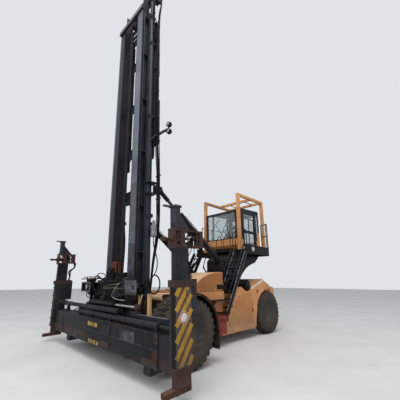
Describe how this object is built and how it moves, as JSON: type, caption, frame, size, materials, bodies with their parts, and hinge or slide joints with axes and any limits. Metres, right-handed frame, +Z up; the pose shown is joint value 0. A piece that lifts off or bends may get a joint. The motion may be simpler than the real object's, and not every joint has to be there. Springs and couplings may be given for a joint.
{
  "type": "empty container handler",
  "caption": "Mast lift truck for empty containers with a telescopic side-lift spreader, twin drive wheels and a raised cab.",
  "frame": {"origin": "on the ground, at the centre of the bounding box", "axes": "+X towards the spreader, +Y to the machine's left, +Z up"},
  "size_m": [7.1216, 6.024, 11.4346],
  "materials": {
    "body_peach": "faded satin paint, peach orange",
    "guard_peach": "faded satin paint, peach orange",
    "dark_paint": "worn matt paint, dark blue grey",
    "black_paint": "dull black paint, dusty",
    "rust_brown": "rusted bare steel",
    "red_paint": "faded red paint",
    "rod_steel": "polished rod, oily",
    "chain_steel": "oily leaf chain",
    "cast_grey": "grey castings",
    "tyre": "dusty rubber",
    "rim_paint": "dusty dark paint",
    "cab_glass": "clear cab glass",
    "cab_trim": "black cab trim"
  },
  "bodies": {
    "chassis": {"main_frame": "body_peach", "drive_axle": "black_paint", "steer_axle": "black_paint", "counterweight": "body_peach", "engine_block": "cast_grey", "rear_hood": "body_peach", "side_panels": "body_peach", "deck_hood": "body_peach", "fenders": "black_paint", "side_boxes": "red_paint", "air_cleaner": "black_paint", "cab_pedestal": "black_paint", "cab_platform": "dark_paint", "access_ladder": "black_paint", "cab_shell": "body_peach", "cab_frame": "dark_paint", "cab_glass": "cab_glass", "cab_interior": "cab_trim", "cab_guard": "guard_peach"},
    "drive_wheels_L": {"drive_tyres_L": "tyre", "drive_rims_L": "rim_paint"},
    "drive_wheels_R": {"drive_tyres_R": "tyre", "drive_rims_R": "rim_paint"},
    "knuckle_L": {"knuckle_L": "black_paint"},
    "knuckle_R": {"knuckle_R": "black_paint"},
    "steer_wheel_L": {"steer_tyre_L": "tyre", "steer_rim_L": "rim_paint"},
    "steer_wheel_R": {"steer_tyre_R": "tyre", "steer_rim_R": "rim_paint"},
    "outer_mast": {"outer_mast": "dark_paint"},
    "tilt_barrels": {"tilt_barrels": "black_paint"},
    "tilt_rods": {"tilt_rods": "rod_steel"},
    "inner_mast": {"inner_mast": "dark_paint", "lift_chains": "chain_steel"},
    "carriage": {"carriage": "dark_paint"},
    "spreader": {"spreader_beam": "dark_paint"},
    "arm_L": {"arm_L": "dark_paint"},
    "arm_R": {"arm_R": "dark_paint"},
    "post_L": {"post_L": "dark_paint"},
    "post_R": {"post_R": "dark_paint"},
    "lock_L": {"lock_L": "rust_brown"},
    "lock_R": {"lock_R": "rust_brown"},
    "cab_door": {"cab_door": "dark_paint", "door_glass": "cab_glass"}
  },
  "joints": [
    {"name": "drive_spin_L", "type": "hinge", "parent": "chassis", "child": "drive_wheels_L", "pos_m": [2.05916, 1.7, 0.685], "axis": [0, 1, 0], "continuous": true},
    {"name": "drive_spin_R", "type": "hinge", "parent": "chassis", "child": "drive_wheels_R", "pos_m": [2.05916, -1.7, 0.685], "axis": [0, 1, 0], "continuous": true},
    {"name": "steer_L", "type": "hinge", "parent": "chassis", "child": "knuckle_L", "pos_m": [-2.49084, 0.8, 0.685], "axis": [0, 0, 1], "range_deg": [-40, 40]},
    {"name": "steer_R", "type": "hinge", "parent": "chassis", "child": "knuckle_R", "pos_m": [-2.49084, -0.8, 0.685], "axis": [0, 0, 1], "range_deg": [-40, 40]},
    {"name": "steer_spin_L", "type": "hinge", "parent": "knuckle_L", "child": "steer_wheel_L", "pos_m": [-2.49084, 1.0125, 0.685], "axis": [0, 1, 0], "continuous": true},
    {"name": "steer_spin_R", "type": "hinge", "parent": "knuckle_R", "child": "steer_wheel_R", "pos_m": [-2.49084, -1.0125, 0.685], "axis": [0, 1, 0], "continuous": true},
    {"name": "mast_tilt", "type": "hinge", "parent": "chassis", "child": "outer_mast", "pos_m": [2.35903, 0, 0.69494], "axis": [0, 1, 0], "range_deg": [-8, 2]},
    {"name": "tilt_barrel_pivot", "type": "hinge", "parent": "chassis", "child": "tilt_barrels", "pos_m": [-0.29084, 0, 2.3], "axis": [0, 1, 0], "range_deg": [-6, 3]},
    {"name": "tilt_rod_slide", "type": "slide", "parent": "tilt_barrels", "child": "tilt_rods", "axis": [0.8074, 0, 0.59], "range_m": [-0.45, 0.16]},
    {"name": "mast_lift", "type": "slide", "parent": "outer_mast", "child": "inner_mast", "axis": [0.0506, 0, 0.9987], "range_m": [0, 7]},
    {"name": "carriage_lift", "type": "slide", "parent": "inner_mast", "child": "carriage", "axis": [0.0506, 0, 0.9987], "range_m": [0, 7]},
    {"name": "side_shift", "type": "slide", "parent": "carriage", "child": "spreader", "axis": [0, 1, 0], "range_m": [-0.3, 0.3]},
    {"name": "arm_slide_L", "type": "slide", "parent": "spreader", "child": "arm_L", "axis": [0, 1, 0], "range_m": [0, 3.066]},
    {"name": "arm_slide_R", "type": "slide", "parent": "spreader", "child": "arm_R", "axis": [0, -1, 0], "range_m": [0, 3.066]},
    {"name": "post_slide_L", "type": "slide", "parent": "arm_L", "child": "post_L", "axis": [0.0506, 0, 0.9987], "range_m": [0, 0.18]},
    {"name": "post_slide_R", "type": "slide", "parent": "arm_R", "child": "post_R", "axis": [0.0506, 0, 0.9987], "range_m": [0, 0.18]},
    {"name": "lock_turn_L", "type": "hinge", "parent": "post_L", "child": "lock_L", "pos_m": [3.55937, 2.9265, 2.35133], "axis": [0.9987, 0, -0.0506], "range_deg": [0, 90]},
    {"name": "lock_turn_R", "type": "hinge", "parent": "post_R", "child": "lock_R", "pos_m": [3.55937, -2.9265, 2.35133], "axis": [0.9987, 0, -0.0506], "range_deg": [0, 90]},
    {"name": "cab_door_hinge", "type": "hinge", "parent": "chassis", "child": "cab_door", "pos_m": [-2.63584, 0.7545, 3.5], "axis": [0, 0, 1], "range_deg": [0, 85]}
  ],
  "couplings": [
    {"joint": "tilt_barrel_pivot", "follows": "mast_tilt", "ratio": 0.6207},
    {"joint": "tilt_rod_slide", "follows": "mast_tilt", "m_per_rad": 2.8965},
    {"joint": "steer_R", "follows": "steer_L", "ratio": 1},
    {"joint": "carriage_lift", "follows": "mast_lift", "ratio": 1},
    {"joint": "arm_slide_R", "follows": "arm_slide_L", "ratio": 1}
  ]
}
